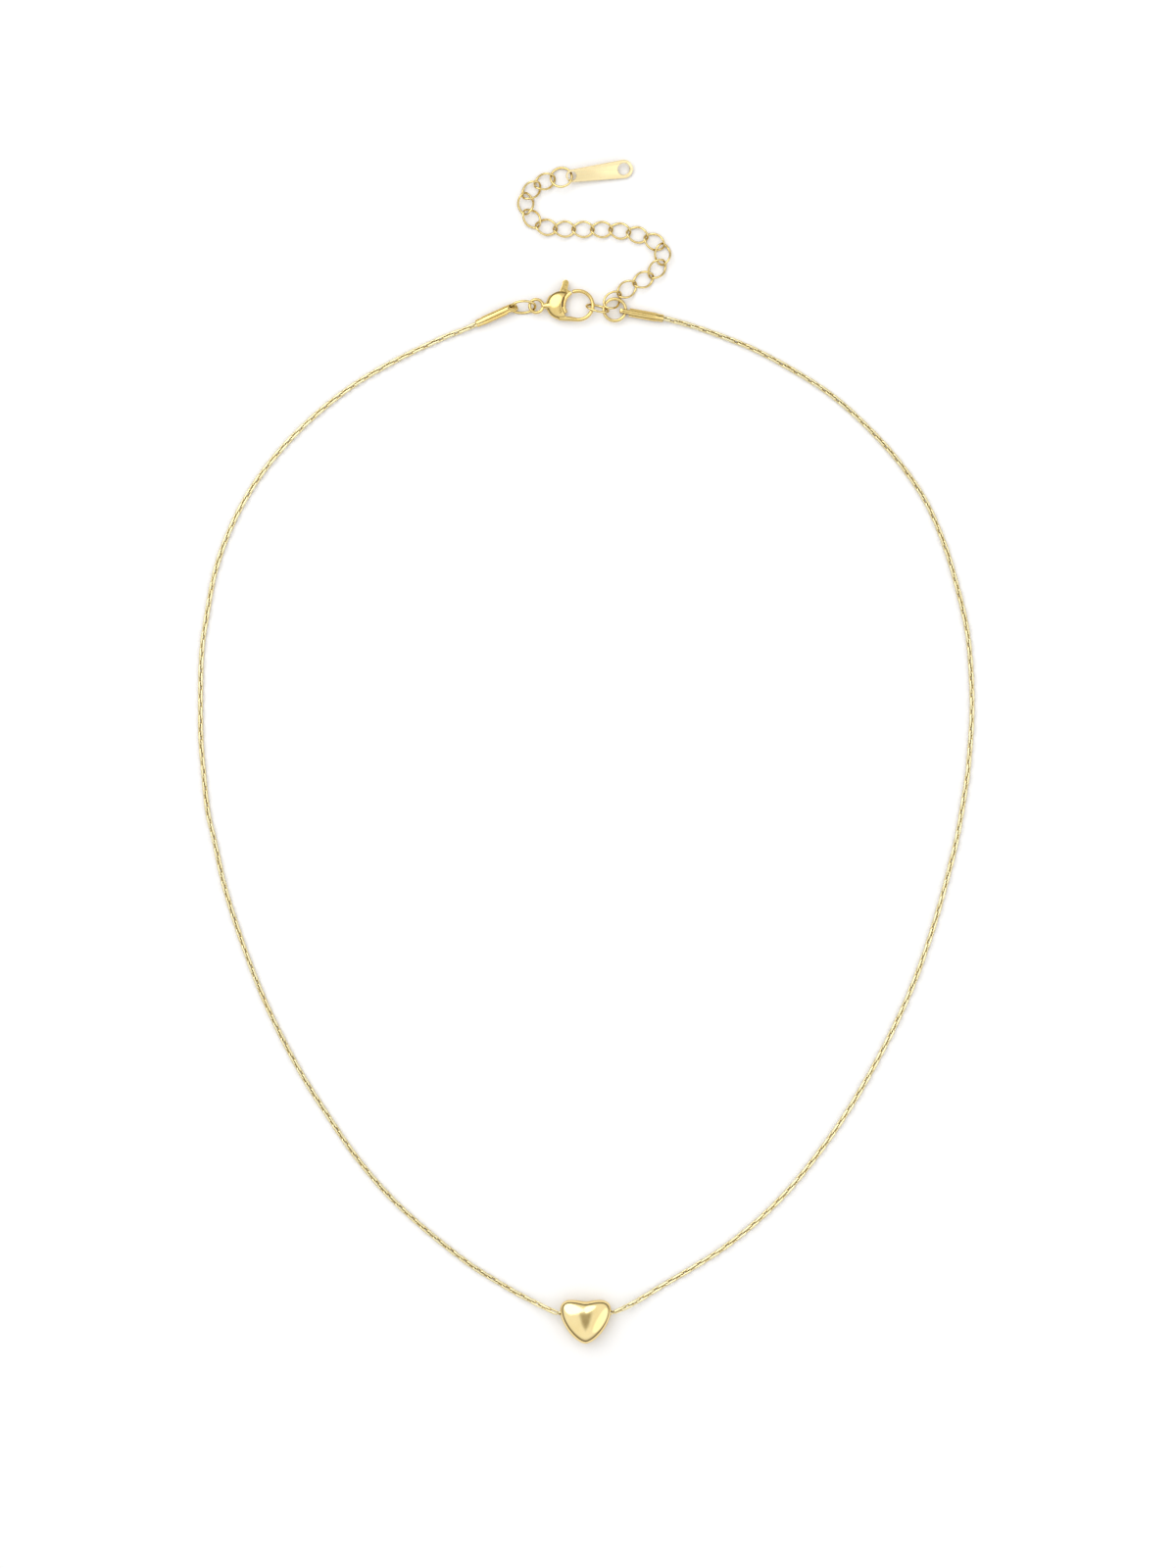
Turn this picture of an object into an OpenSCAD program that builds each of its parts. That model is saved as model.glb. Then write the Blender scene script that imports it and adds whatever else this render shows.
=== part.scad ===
// Pendant necklace lying flat: a heart bead on a fine chain, with a lobster
// clasp, an extension chain and an end tag.
// Millimetres, +Z up. The surface it lies on is z = 0. +Y runs from the bead
// to the clasp and +X to the wearer's left when it is laid out face up.

/* [Which piece] */
// One sub-part's name, or all of them

/* [Main chain] */
// Width and height of the main chain
chain_w = 0.8; // [0.6:0.05:1]

/* [Heart bead] */
// Width across the lobes
heart_w = 7.3; // [6:0.1:8]
// Height from the lobes to the tip
heart_h = 6.3; // [5:0.1:7.5]
// Thickness, front to back
heart_t = 3.2; // [2.4:0.1:4]
// Diameter of the bore the chain runs through
heart_bore_d = 1.1; // [1:0.05:1.3]

/* [End caps] */
// Diameter of the crimped caps on the chain's ends
cap_d = 1.24; // [1.1:0.02:1.4]
// Length of a cap
cap_l = 6.4; // [5:0.1:7]
// Diameter of the cross hole a ring runs through
cap_hole_d = 0.84; // [0.74:0.02:0.9]

/* [Lobster clasp] */
// Centreline radius of the hook
hook_r = 2.07; // [1.9:0.01:2.2]
// Thickness of the hook and the gate
hook_wire_d = 0.56; // [0.4:0.02:0.6]
// Widest height of the domed clasp body
clasp_body_w = 4.2; // [3.6:0.1:4.6]
// Thickness of the domed clasp body
clasp_body_t = 1.9; // [1.6:0.05:2]
// Diameter of the lever's pin
pin_d = 0.4; // [0.3:0.02:0.5]
// How far the lever opens
lever_open = 22; // [0:1:22]

/* [Extension chain] */
// Thickness of an extension link's wire
link_wire_d = 0.32; // [0.26:0.01:0.34]
// Length of a link, measured on the wire's centreline
link_l = 3.1; // [2.9:0.02:3.2]
// Width of a link, measured on the wire's centreline
link_w = 2.2; // [1.8:0.05:2.3]
// Twist of each link's ends out of its plane
link_twist = 42; // [30:1:50]

/* [Rings and tag] */
// Centreline radius of the jump ring
jump_ring_r = 1.58; // [1.5:0.01:1.65]
// Thickness of the jump ring's wire
jump_ring_wire_d = 0.44; // [0.3:0.02:0.46]
// Centreline radius of the tag ring
tag_ring_r = 1.53; // [1.4:0.01:1.6]
// Thickness of the tag
tag_t = 0.35; // [0.25:0.05:0.5]
// Diameter of the hole in the tag's wide end
tag_hole_d = 1.76; // [1.2:0.02:1.9]

/* [Hidden] */
$fn = 48;
CHAIN_SIDES = 8;
WIRE_SIDES = 8;
LINK_RINGS = 24;
CUT = 0.1;          // how far a cutting solid runs past a face
chain_r = chain_w / 2;
chain_z = chain_r;

// The chain's route in four quarters, bead to end cap. The middle of each
// side has a small gap, where the two quarters turn on each other.
LEFT_LOWER = [
  [-4.05, -80.75, 1.6], [-5.6, -80.1, 1.3], [-7.5, -79.2, 0.8], [-9.9, -78, 0.5],
  [-12.3, -76.6, 0.4], [-16.9, -73.7, 0.4], [-23, -68.9, 0.4], [-28.5, -63.8, 0.4],
  [-33.2, -58.2, 0.4], [-37.1, -52.5, 0.4], [-40.6, -47, 0.4], [-43.6, -41.5, 0.4],
  [-46.2, -36, 0.4], [-48.4, -30.5, 0.4], [-50.3, -25.1, 0.4], [-52, -19.6, 0.4],
  [-53, -15.2, 0.4], [-53.65, -12.2, 0.4]
];
LEFT_UPPER = [
  [-53.75, -11.8, 0.4], [-54.5, -8.4, 0.4], [-55.1, -2.7, 0.4], [-55.5, 3.2, 0.4],
  [-55.4, 13.5, 0.4], [-54.6, 19.8, 0.4], [-53.3, 26.4, 0.4], [-51, 32.7, 0.4],
  [-47.7, 38.7, 0.4], [-43.5, 44.1, 0.4], [-38.6, 48.9, 0.4], [-33, 53.2, 0.4],
  [-26.9, 56.7, 0.4], [-20.6, 59.7, 0.4], [-18, 60.7, 0.5], [-16.1, 61.5, 0.63],
  [-14.5, 62.22, 0.72]
];
RIGHT_LOWER = [
  [4.05, -80.65, 1.6], [5.6, -80, 1.3], [7.6, -79, 0.8], [10.6, -77.2, 0.45],
  [15.2, -74.5, 0.4], [19.6, -71.7, 0.4], [23.6, -68.6, 0.4], [27.3, -65.2, 0.4],
  [30.6, -61.6, 0.4], [35, -55.9, 0.4], [38.7, -50.3, 0.4], [41.9, -44.7, 0.4],
  [44.7, -39.2, 0.4], [47.1, -33.8, 0.4], [49.1, -28.4, 0.4], [50.8, -23, 0.4],
  [52.3, -17.5, 0.4], [53.6, -12.1, 0.4], [54.85, -4.6, 0.4]
];
RIGHT_UPPER = [
  [54.95, -4.2, 0.4], [55.3, -0.8, 0.4], [55.7, 5.2, 0.4], [55.6, 11.2, 0.4],
  [55, 17.5, 0.4], [53.6, 23.7, 0.4], [51.7, 30, 0.4], [49, 36.2, 0.4],
  [45.2, 41.8, 0.4], [40.6, 46.9, 0.4], [35.4, 51.5, 0.4], [29.5, 55.3, 0.4],
  [23.3, 58.5, 0.4], [16.7, 61, 0.4], [12.2, 62.3, 0.62], [10.4, 62.63, 0.68]
];

heart_mid = [0, -82.1, heart_t / 2];
bead_axis = [0, -80.7, heart_t / 2];
CENTRE_REACH = 3.8;   // half the length of chain inside the bead

left_hole = [-10.62, 63.99, 0.95];
LEFT_CAP_TURN = 24;
LEFT_CAP_TILT = 3;
right_hole = [5.7, 63.46, 0.8];
RIGHT_CAP_TURN = 170;
RIGHT_CAP_TILT = 1.5;
CAP_NOSE = 0.8;       // from the cross hole to the cap's ring end
TONGUE_T = 0.6;       // thickness of the flattened ring end
CAP_NECK_L = 1;
CAP_NECK_D = 1.08;
CAP_BORE_D = 0.92;
CAP_BORE_L = 1.9;
CAP_CHAMFER = 0.15;
SEAM_W = 0.12;
SEAM_TURN = 32;       // from straight up, round the cap

connector_mid = [-9, 64.1, 0.95];
CONNECTOR_L = 3.5;
CONNECTOR_W = 2.16;
CONNECTOR_WIRE_D = 0.36;
CONNECTOR_ROLL = 45;
CONNECTOR_TURN = 4;

clasp_z = 0.95;
eye_mid = [-7.1, 64.25];
EYE_R = 0.95;
EYE_WIRE_D = 0.46;
body_mid = [-3.6, 64.4];
hook_mid = [-1.05, 64.35];
HOOK_FROM = -97;      // where the hook leaves its straight root
HOOK_TIP = 112;
ROOT_D = 0.62;
ROOT_L = 3.3;
GATE_FROM = 118;
GATE_TO = 212;
pin_mid = [-3.65, 63.35];
SLOT_T = 0.72;
BODY_GAP = 0.05;      // between the body's rim and the gate
HUB_D = 1;
HUB_BORE_D = 0.52;
LEVER_T = 0.5;
nub_tip = [-2.88, 67.55];
NUB_D = 0.94;
spring_foot = [-4.93, 64.85];
SPRING_L = 0.95;
SPRING_R = 0.22;
SPRING_WIRE_D = 0.1;
SPRING_TURNS = 4;

jump_ring_mid = [4.2, 63.72, 0.8];
hook_link_mid = [1.7, 63.9, 1];
HOOK_LINK_L = 3.24;
HOOK_LINK_W = 1.9;
HOOK_LINK_ROLL = -60;
HOOK_LINK_TURN = -14;

// Points where each extension link hangs on the next, from the jump ring to
// the tag ring, and each link's height, roll and pitch
LINK_ENDS = [
  [3.08, 64.31], [4.85, 65.9], [7.1, 67.5], [9.5, 68.6], [11.1, 70.6], [11.1, 72.9],
  [8.7, 74.2], [6.2, 74.9], [3.65, 75.3], [0.95, 75.3], [-1.7, 75.35], [-4.4, 75.4],
  [-6.9, 75.9], [-8.6, 77.9], [-8.65, 80.2], [-7, 81.7], [-4.8, 82.7]
];
FLAT_LINK_Z = 0.6;
FIRST_LINK = [1.07, 19, 17];
SECOND_LINK = [0.65, 7, 0];

tag_ring_mid = [-3.5, 82.8, 0.85];
TAG_RING_WIRE_D = 0.34;
TAG_RING_ROLL = -20;
TAG_RING_PITCH = -6;
tag_end = [-1.93, 82.98, 1];
TAG_REACH = 7.5;      // between the tag's two holes
TAG_NARROW_R = 0.9;
TAG_WIDE_R = 1.33;
TAG_SMALL_HOLE_D = 1.2;
TAG_ROLL = 18;
TAG_PITCH = 3;
TAG_TURN = 8;

GOLD = [0.86, 0.72, 0.38];
PALE_GOLD = [0.9, 0.79, 0.5];
STEEL = [0.7, 0.7, 0.72];

function unit(v) = v / norm(v);

// One ring of points round a wire at p, running along t
function wire_ring(p, t, up, r, sides) =
  let (side = unit(cross(t, up)), top = unit(cross(side, t)))
  [for (k = [0:sides - 1]) p + r * (cos(360 * k / sides) * side + sin(360 * k / sides) * top)];

// Quads between ring i and ring j
function band(i, j, sides) =
  [for (k = [0:sides - 1]) [i * sides + k, i * sides + (k + 1) % sides,
    j * sides + (k + 1) % sides, j * sides + k]];

function route_way(route, i) =
  unit(route[min(i + 1, len(route) - 1)] - route[max(i - 1, 0)]);

module route_tube(route, r, sides) {
  last = len(route) - 1;
  points = [for (i = [0:last]) each wire_ring(route[i], route_way(route, i), [0, 0, 1], r, sides)];
  walls = [for (i = [0:last - 1]) each band(i, i + 1, sides)];
  first_cap = [for (k = [sides - 1:-1:0]) k];
  last_cap = [for (k = [0:sides - 1]) last * sides + k];
  polyhedron(points, concat(walls, [first_cap, last_cap]), convexity = 10);
}

// A closed wire link: an oval whose two ends are twisted opposite ways
function link_point(angle, half_l, half_w, twist) =
  let (turn = twist * cos(angle), out = half_w * sin(angle))
  [half_l * cos(angle), out * cos(turn), out * sin(turn)];

module wire_link(half_l, half_w, twist, wire_d) {
  step = 360 / LINK_RINGS;
  path = [for (i = [0:LINK_RINGS - 1]) link_point(i * step, half_l, half_w, twist)];
  points = [for (i = [0:LINK_RINGS - 1])
    let (ahead = path[(i + 1) % LINK_RINGS], behind = path[(i + LINK_RINGS - 1) % LINK_RINGS])
    each wire_ring(path[i], unit(ahead - behind), path[i], wire_d / 2, WIRE_SIDES)];
  walls = [for (i = [0:LINK_RINGS - 1]) each band(i, (i + 1) % LINK_RINGS, WIRE_SIDES)];
  polyhedron(points, walls, convexity = 10);
}

module torus(r, wire_d) {
  rotate_extrude() translate([r, 0]) circle(d = wire_d);
}

module chain_centre() {
  color(GOLD) translate(bead_axis)
    route_tube([[-CENTRE_REACH, 0, 0], [0, 0, 0], [CENTRE_REACH, 0, 0]], chain_r, CHAIN_SIDES);
}

module chain_left_lower() {
  color(GOLD) route_tube(LEFT_LOWER, chain_r, CHAIN_SIDES);
}

module chain_left_upper() {
  color(GOLD) route_tube(LEFT_UPPER, chain_r, CHAIN_SIDES);
}

module chain_right_lower() {
  color(GOLD) route_tube(RIGHT_LOWER, chain_r, CHAIN_SIDES);
}

module chain_right_upper() {
  color(GOLD) route_tube(RIGHT_UPPER, chain_r, CHAIN_SIDES);
}

// The heart's outline is an ellipse bent up at both sides. Its layers shrink
// towards a crown, where the bend fades out.
HEART_POINTS = 48;
HEART_LAYERS = 16;
HEART_BEND = 1.4;
HEART_FULLNESS = 0.66;   // 1 gives an elliptical section, and less a squarer rim
HEART_CROWN_Y = -0.1;
heart_half_h = heart_h * 0.475;
heart_lift = heart_h * 0.285;

function heart_point(angle, reach) =
  [heart_w / 2 * sin(angle) * reach,
   HEART_CROWN_Y * (1 - reach) + heart_half_h * cos(angle) * reach
     + heart_lift * pow(abs(sin(angle)), HEART_BEND) * reach * reach];

function heart_layer(fall) =
  let (height = heart_t / 2 * sign(cos(fall)) * pow(abs(cos(fall)), HEART_FULLNESS))
  [for (i = [0:HEART_POINTS - 1]) concat(heart_point(360 * i / HEART_POINTS, sin(fall)), height)];

module heart_solid() {
  top = HEART_POINTS * (HEART_LAYERS - 1);
  points = concat([for (j = [1:HEART_LAYERS - 1]) each heart_layer(180 * j / HEART_LAYERS)],
    [[0, HEART_CROWN_Y, heart_t / 2], [0, HEART_CROWN_Y, -heart_t / 2]]);
  walls = [for (j = [0:HEART_LAYERS - 3]) each band(j, j + 1, HEART_POINTS)];
  first_cap = [for (k = [0:HEART_POINTS - 1]) [top, (k + 1) % HEART_POINTS, k]];
  foot = HEART_POINTS * (HEART_LAYERS - 2);
  last_cap = [for (k = [0:HEART_POINTS - 1]) [top + 1, foot + k, foot + (k + 1) % HEART_POINTS]];
  polyhedron(points, concat(walls, first_cap, last_cap), convexity = 4);
}

module heart_bead() {
  color(PALE_GOLD) difference() {
    translate(heart_mid) heart_solid();
    translate(bead_axis) rotate([0, 90, 0])
      cylinder(d = heart_bore_d, h = heart_w + 2, center = true);
  }
}

// A cap lies along X with its cross hole at the origin and its nose at +X
module cap_blank(d) {
  back = cap_l - CAP_NOSE;
  difference() {
    union() {
      translate([CAP_NECK_L - back, 0, 0]) rotate([0, 90, 0])
        cylinder(d = d, h = cap_l - CAP_NECK_L - CAP_CHAMFER);
      translate([CAP_NOSE - CAP_CHAMFER, 0, 0]) rotate([0, 90, 0])
        cylinder(d1 = d, d2 = d - 2 * CAP_CHAMFER, h = CAP_CHAMFER);
      translate([-back, 0, 0]) rotate([0, 90, 0])
        cylinder(d = CAP_NECK_D, h = CAP_NECK_L + CUT);
    }
    translate([-back - CUT, 0, 0]) rotate([0, 90, 0]) cylinder(d = CAP_BORE_D, h = CAP_BORE_L + CUT);
    rotate([SEAM_TURN, 0, 0]) translate([-back - CUT, -SEAM_W / 2, d / 2 - SEAM_W])
      cube([cap_l - CAP_NOSE - cap_hole_d, SEAM_W, d]);
  }
}

// The cross hole, and the flats that thin the ring end to a tongue
module cap_cutter(d) {
  cylinder(d = d, h = 3 * cap_d, center = true);
  for (side = [-1, 1])
    translate([1.4, 0, side * (TONGUE_T / 2 + 1)]) cube([4, 4, 2], center = true);
}

module end_cap_left() {
  color(GOLD) difference() {
    translate(left_hole) rotate([0, -LEFT_CAP_TILT, LEFT_CAP_TURN]) cap_blank(cap_d);
    translate(left_hole) rotate([CONNECTOR_ROLL - 90, 0, CONNECTOR_TURN]) cap_cutter(cap_hole_d);
  }
}

module end_cap_right() {
  color(GOLD) difference() {
    translate(right_hole) rotate([0, -RIGHT_CAP_TILT, RIGHT_CAP_TURN]) cap_blank(cap_d);
    translate(right_hole) rotate([-90, 0, RIGHT_CAP_TURN]) cap_cutter(cap_hole_d - 0.1);
  }
}

module connector_link() {
  color(GOLD) translate(connector_mid) rotate([CONNECTOR_ROLL, 0, CONNECTOR_TURN])
    wire_link(CONNECTOR_L / 2, CONNECTOR_W / 2, 0, CONNECTOR_WIRE_D);
}

// A lens-shaped dome, from two large balls that meet at the rim
module dome(d, t) {
  ball_r = (d * d / 4 + t * t / 4) / t;
  intersection() {
    translate([0, 0, t / 2 - ball_r]) sphere(r = ball_r);
    translate([0, 0, ball_r - t / 2]) sphere(r = ball_r);
    cylinder(d = d - 0.2, h = t, center = true);
  }
}

// The flat room in the clasp body that the lever turns in
module lever_room() {
  linear_extrude(SLOT_T, center = true)
    polygon([[-4.25, 62.72], [-5.05, 64.2], [-5.05, 67], [-1, 67], [-1, 62.72]]);
}

module clasp_body() {
  root_from = hook_mid + hook_r * [cos(HOOK_FROM), sin(HOOK_FROM)];
  color(PALE_GOLD) translate([0, 0, clasp_z]) difference() {
    union() {
      translate([eye_mid[0], eye_mid[1], 0]) torus(EYE_R, EYE_WIRE_D);
      difference() {
        translate([body_mid[0], body_mid[1], 0]) dome(clasp_body_w, clasp_body_t);
        translate([hook_mid[0], hook_mid[1], 0])
          cylinder(r = hook_r + hook_wire_d / 2 + BODY_GAP, h = 2 * clasp_body_t, center = true);
        lever_room();
      }
      translate([-6.15, 64.27, 0]) rotate([0, 90, 0]) cylinder(d1 = 0.5, d2 = 0.9, h = 0.95);
      translate([hook_mid[0], hook_mid[1], 0]) rotate([0, 0, HOOK_FROM])
        rotate_extrude(angle = HOOK_TIP - HOOK_FROM) translate([hook_r, 0]) circle(d = hook_wire_d);
      translate([root_from[0], root_from[1], 0]) rotate([0, -90, HOOK_FROM + 90])
        translate([0, 0, -0.2]) cylinder(d = ROOT_D, h = ROOT_L);
    }
    translate([pin_mid[0], pin_mid[1], 0]) cylinder(d = pin_d, h = 2 * clasp_body_t, center = true);
  }
}

// The gate, the thumb nub and the hub turn as one piece
module clasp_lever() {
  color(GOLD) translate([0, 0, clasp_z]) difference() {
    union() {
      translate([hook_mid[0], hook_mid[1], 0]) rotate([0, 0, GATE_FROM])
        rotate_extrude(angle = GATE_TO - GATE_FROM) translate([hook_r, 0]) circle(d = hook_wire_d);
      translate([pin_mid[0], pin_mid[1], 0]) cylinder(d = HUB_D, h = LEVER_T, center = true);
      linear_extrude(LEVER_T, center = true)
        polygon([[-3.65, 62.85], [-2.95, 63.1], [-2.95, 63.8], [-3.3, 64.1], [-3.75, 63.84]]);
      translate([nub_tip[0], nub_tip[1], 0]) cylinder(d = NUB_D, h = LEVER_T, center = true);
      linear_extrude(LEVER_T, center = true)
        polygon([[-3.8, 66.2], [-3.33, 67.45], [-2.43, 67.45], [-2.6, 66.6], [-2.15, 66.35], [-2.9, 65.3]]);
    }
    translate([pin_mid[0], pin_mid[1], 0]) cylinder(d = HUB_BORE_D, h = 2, center = true);
  }
}

module clasp_pin() {
  color(GOLD) translate([pin_mid[0], pin_mid[1], clasp_z])
    cylinder(d = pin_d, h = 1.4, center = true);
}

// Drawn as short as it gets with the lever open
module clasp_spring() {
  per_turn = 8;
  steps = SPRING_TURNS * per_turn;
  coil = [for (i = [0:steps]) [SPRING_L * i / steps, SPRING_R * cos(360 * i / per_turn),
    SPRING_R * sin(360 * i / per_turn)]];
  points = [for (i = [0:steps])
    each wire_ring(coil[i], route_way(coil, i), [1, 0, 0], SPRING_WIRE_D / 2, 6)];
  walls = [for (i = [0:steps - 1]) each band(i, i + 1, 6)];
  color(STEEL) translate([spring_foot[0], spring_foot[1], clasp_z])
    polyhedron(points, concat(walls, [[for (k = [5:-1:0]) k], [for (k = [0:5]) steps * 6 + k]]),
      convexity = 10);
}

module jump_ring() {
  color(GOLD) translate(jump_ring_mid) torus(jump_ring_r, jump_ring_wire_d);
}

module hook_link() {
  color(GOLD) translate(hook_link_mid) rotate([HOOK_LINK_ROLL, 0, HOOK_LINK_TURN])
    wire_link(HOOK_LINK_L / 2, HOOK_LINK_W / 2, 0, link_wire_d);
}

// Link number i lies between two neighbouring points of LINK_ENDS
module extension_link(i) {
  from = LINK_ENDS[i - 1];
  to = LINK_ENDS[i];
  way = to - from;
  pose = i == 1 ? FIRST_LINK : i == 2 ? SECOND_LINK : [FLAT_LINK_Z, 0, 0];
  mid = (from + to) / 2;
  color(PALE_GOLD) translate([mid[0], mid[1], pose[0]])
    rotate([pose[1], pose[2], atan2(way[1], way[0])])
    wire_link(link_l / 2, link_w / 2, link_twist, link_wire_d);
}

module tag_ring() {
  color(GOLD) translate(tag_ring_mid) rotate([TAG_RING_ROLL, TAG_RING_PITCH, 0])
    torus(tag_ring_r, TAG_RING_WIRE_D);
}

module tag_outline() {
  hull() {
    circle(r = TAG_NARROW_R, $fn = 32);
    translate([TAG_REACH, 0]) circle(r = TAG_WIDE_R, $fn = 32);
  }
}

module tag() {
  color(PALE_GOLD) translate(tag_end) rotate([TAG_ROLL, TAG_PITCH, TAG_TURN])
    linear_extrude(tag_t, center = true) difference() {
      tag_outline();
      circle(d = TAG_SMALL_HOLE_D);
      translate([TAG_REACH, 0]) circle(d = tag_hole_d);
    }
}

chain_centre();
heart_bead();
chain_left_lower();
chain_left_upper();
chain_right_lower();
chain_right_upper();
end_cap_left();
end_cap_right();
connector_link();
clasp_body();
clasp_lever();
clasp_pin();
clasp_spring();
jump_ring();
hook_link();
extension_link(1);  // extension_link_01
extension_link(2);  // extension_link_02
extension_link(3);  // extension_link_03
extension_link(4);  // extension_link_04
extension_link(5);  // extension_link_05
extension_link(6);  // extension_link_06
extension_link(7);  // extension_link_07
extension_link(8);  // extension_link_08
extension_link(9);  // extension_link_09
extension_link(10);  // extension_link_10
extension_link(11);  // extension_link_11
extension_link(12);  // extension_link_12
extension_link(13);  // extension_link_13
extension_link(14);  // extension_link_14
extension_link(15);  // extension_link_15
extension_link(16);  // extension_link_16
tag_ring();
tag();
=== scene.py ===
"""Looks for the pendant necklace, built around its CAD frame."""
import math

import bmesh
import bpy
from mathutils import Euler, Matrix, Vector


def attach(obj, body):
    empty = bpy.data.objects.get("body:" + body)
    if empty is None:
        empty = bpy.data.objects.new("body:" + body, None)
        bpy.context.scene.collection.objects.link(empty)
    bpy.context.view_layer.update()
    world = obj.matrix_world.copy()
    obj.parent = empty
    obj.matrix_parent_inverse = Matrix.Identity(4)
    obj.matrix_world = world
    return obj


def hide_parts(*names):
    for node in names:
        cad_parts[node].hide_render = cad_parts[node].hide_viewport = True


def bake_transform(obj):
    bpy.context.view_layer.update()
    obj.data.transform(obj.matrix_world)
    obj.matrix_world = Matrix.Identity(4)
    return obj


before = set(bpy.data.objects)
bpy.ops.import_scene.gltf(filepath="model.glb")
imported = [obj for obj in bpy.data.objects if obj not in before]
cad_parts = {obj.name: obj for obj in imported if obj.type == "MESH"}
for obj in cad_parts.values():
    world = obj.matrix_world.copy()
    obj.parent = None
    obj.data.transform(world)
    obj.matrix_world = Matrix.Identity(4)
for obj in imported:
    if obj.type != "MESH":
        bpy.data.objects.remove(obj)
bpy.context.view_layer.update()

MM = 0.001  # the modelling below is in millimetres, and the frame is in metres
TAU = 2 * math.pi


# --------------------------------------------------------------- camera
LENS = 100  # long, so that there is hardly any perspective
SENSOR = 36
VIEW_H = 226.2 * MM  # what the picture's height takes in
VIEW_MID = (0.35 * MM, -4.6 * MM)

camera_data = bpy.data.cameras.new("camera")
camera_data.lens = LENS
camera_data.sensor_width = SENSOR
camera_data.clip_start = 0.01
camera = bpy.data.objects.new("camera", camera_data)
camera.location = (VIEW_MID[0], VIEW_MID[1], VIEW_H * LENS / SENSOR)
bpy.context.collection.objects.link(camera)
bpy.context.scene.camera = camera


# --------------------------------------------------------------- routes
LEFT_LOWER = [
    (-4.05, -80.75, 1.6), (-5.6, -80.1, 1.3), (-7.5, -79.2, 0.8), (-9.9, -78, 0.5),
    (-12.3, -76.6, 0.4), (-16.9, -73.7, 0.4), (-23, -68.9, 0.4), (-28.5, -63.8, 0.4),
    (-33.2, -58.2, 0.4), (-37.1, -52.5, 0.4), (-40.6, -47, 0.4), (-43.6, -41.5, 0.4),
    (-46.2, -36, 0.4), (-48.4, -30.5, 0.4), (-50.3, -25.1, 0.4), (-52, -19.6, 0.4),
    (-53, -15.2, 0.4), (-53.7, -12, 0.4),
]
LEFT_UPPER = [
    (-54.5, -8.4, 0.4), (-55.1, -2.7, 0.4), (-55.5, 3.2, 0.4),
    (-55.4, 13.5, 0.4), (-54.6, 19.8, 0.4), (-53.3, 26.4, 0.4), (-51, 32.7, 0.4),
    (-47.7, 38.7, 0.4), (-43.5, 44.1, 0.4), (-38.6, 48.9, 0.4), (-33, 53.2, 0.4),
    (-26.9, 56.7, 0.4), (-20.6, 59.7, 0.4), (-18, 60.7, 0.5), (-16.1, 61.5, 0.63),
    (-14.5, 62.22, 0.72),
]
RIGHT_LOWER = [
    (4.05, -80.65, 1.6), (5.6, -80, 1.3), (7.6, -79, 0.8), (10.6, -77.2, 0.45),
    (15.2, -74.5, 0.4), (19.6, -71.7, 0.4), (23.6, -68.6, 0.4), (27.3, -65.2, 0.4),
    (30.6, -61.6, 0.4), (35, -55.9, 0.4), (38.7, -50.3, 0.4), (41.9, -44.7, 0.4),
    (44.7, -39.2, 0.4), (47.1, -33.8, 0.4), (49.1, -28.4, 0.4), (50.8, -23, 0.4),
    (52.3, -17.5, 0.4), (53.6, -12.1, 0.4), (54.9, -4.4, 0.4),
]
RIGHT_UPPER = [
    (55.3, -0.8, 0.4), (55.7, 5.2, 0.4), (55.6, 11.2, 0.4),
    (55, 17.5, 0.4), (53.6, 23.7, 0.4), (51.7, 30, 0.4), (49, 36.2, 0.4),
    (45.2, 41.8, 0.4), (40.6, 46.9, 0.4), (35.4, 51.5, 0.4), (29.5, 55.3, 0.4),
    (23.3, 58.5, 0.4), (16.7, 61, 0.4), (12.2, 62.3, 0.62), (10.4, 62.63, 0.68),
]
BEAD_RUN = [(-3.9, -80.75, 1.6), (0, -80.7, 1.6), (3.9, -80.65, 1.6)]

CHAIN_PITCH = 1.21
ROUTE_STEP = CHAIN_PITCH / 10


def smooth_route(points):
    """The route as a smooth curve through its points, sampled at even steps, and its length."""
    knots = [Vector(p) for p in points]
    knots = [2 * knots[0] - knots[1]] + knots + [2 * knots[-1] - knots[-2]]
    dense = []
    for a, b, c, d in zip(knots, knots[1:], knots[2:], knots[3:]):
        parts = max(4, int((c - b).length / 0.1))
        for i in range(parts):
            t = i / parts
            dense.append(0.5 * (2 * b + (c - a) * t + (2 * a - 5 * b + 4 * c - d) * t * t
                                + (3 * b - a - 3 * c + d) * t ** 3))
    dense.append(knots[-2].copy())
    along = [0.0]
    for a, b in zip(dense, dense[1:]):
        along.append(along[-1] + (b - a).length)
    count = max(2, round(along[-1] / ROUTE_STEP))
    even, i = [], 0
    for k in range(count + 1):
        want = along[-1] * k / count
        while i < len(dense) - 2 and along[i + 1] < want:
            i += 1
        span = max(along[i + 1] - along[i], 1e-9)
        even.append(dense[i].lerp(dense[i + 1], min(1, (want - along[i]) / span)))
    return even, along[-1]


# --------------------------------------------------------------- meshes
def put(name, mesh, body, material, nodes):
    """Turn a millimetre mesh into a piece in place of its CAD nodes, riding on body if given."""
    mesh.transform(Matrix.Scale(MM, 4))
    for face in mesh.polygons:
        face.use_smooth = True
    piece = bpy.data.objects.new(name, mesh)
    bpy.context.collection.objects.link(piece)
    piece.data.materials.append(material)
    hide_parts(*nodes)
    if body:
        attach(piece, body)
    return piece


def euler_deg(x, y, z):
    return Euler((math.radians(x), math.radians(y), math.radians(z))).to_matrix()


NO_TURN = Matrix.Identity(3)
Z_TO_X = euler_deg(0, 90, 0)


def mesh_from(name, verts, faces):
    mesh = bpy.data.meshes.new(name)
    mesh.from_pydata([tuple(v) for v in verts], [], faces)
    mesh.validate()
    mesh.update()
    return mesh


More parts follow.
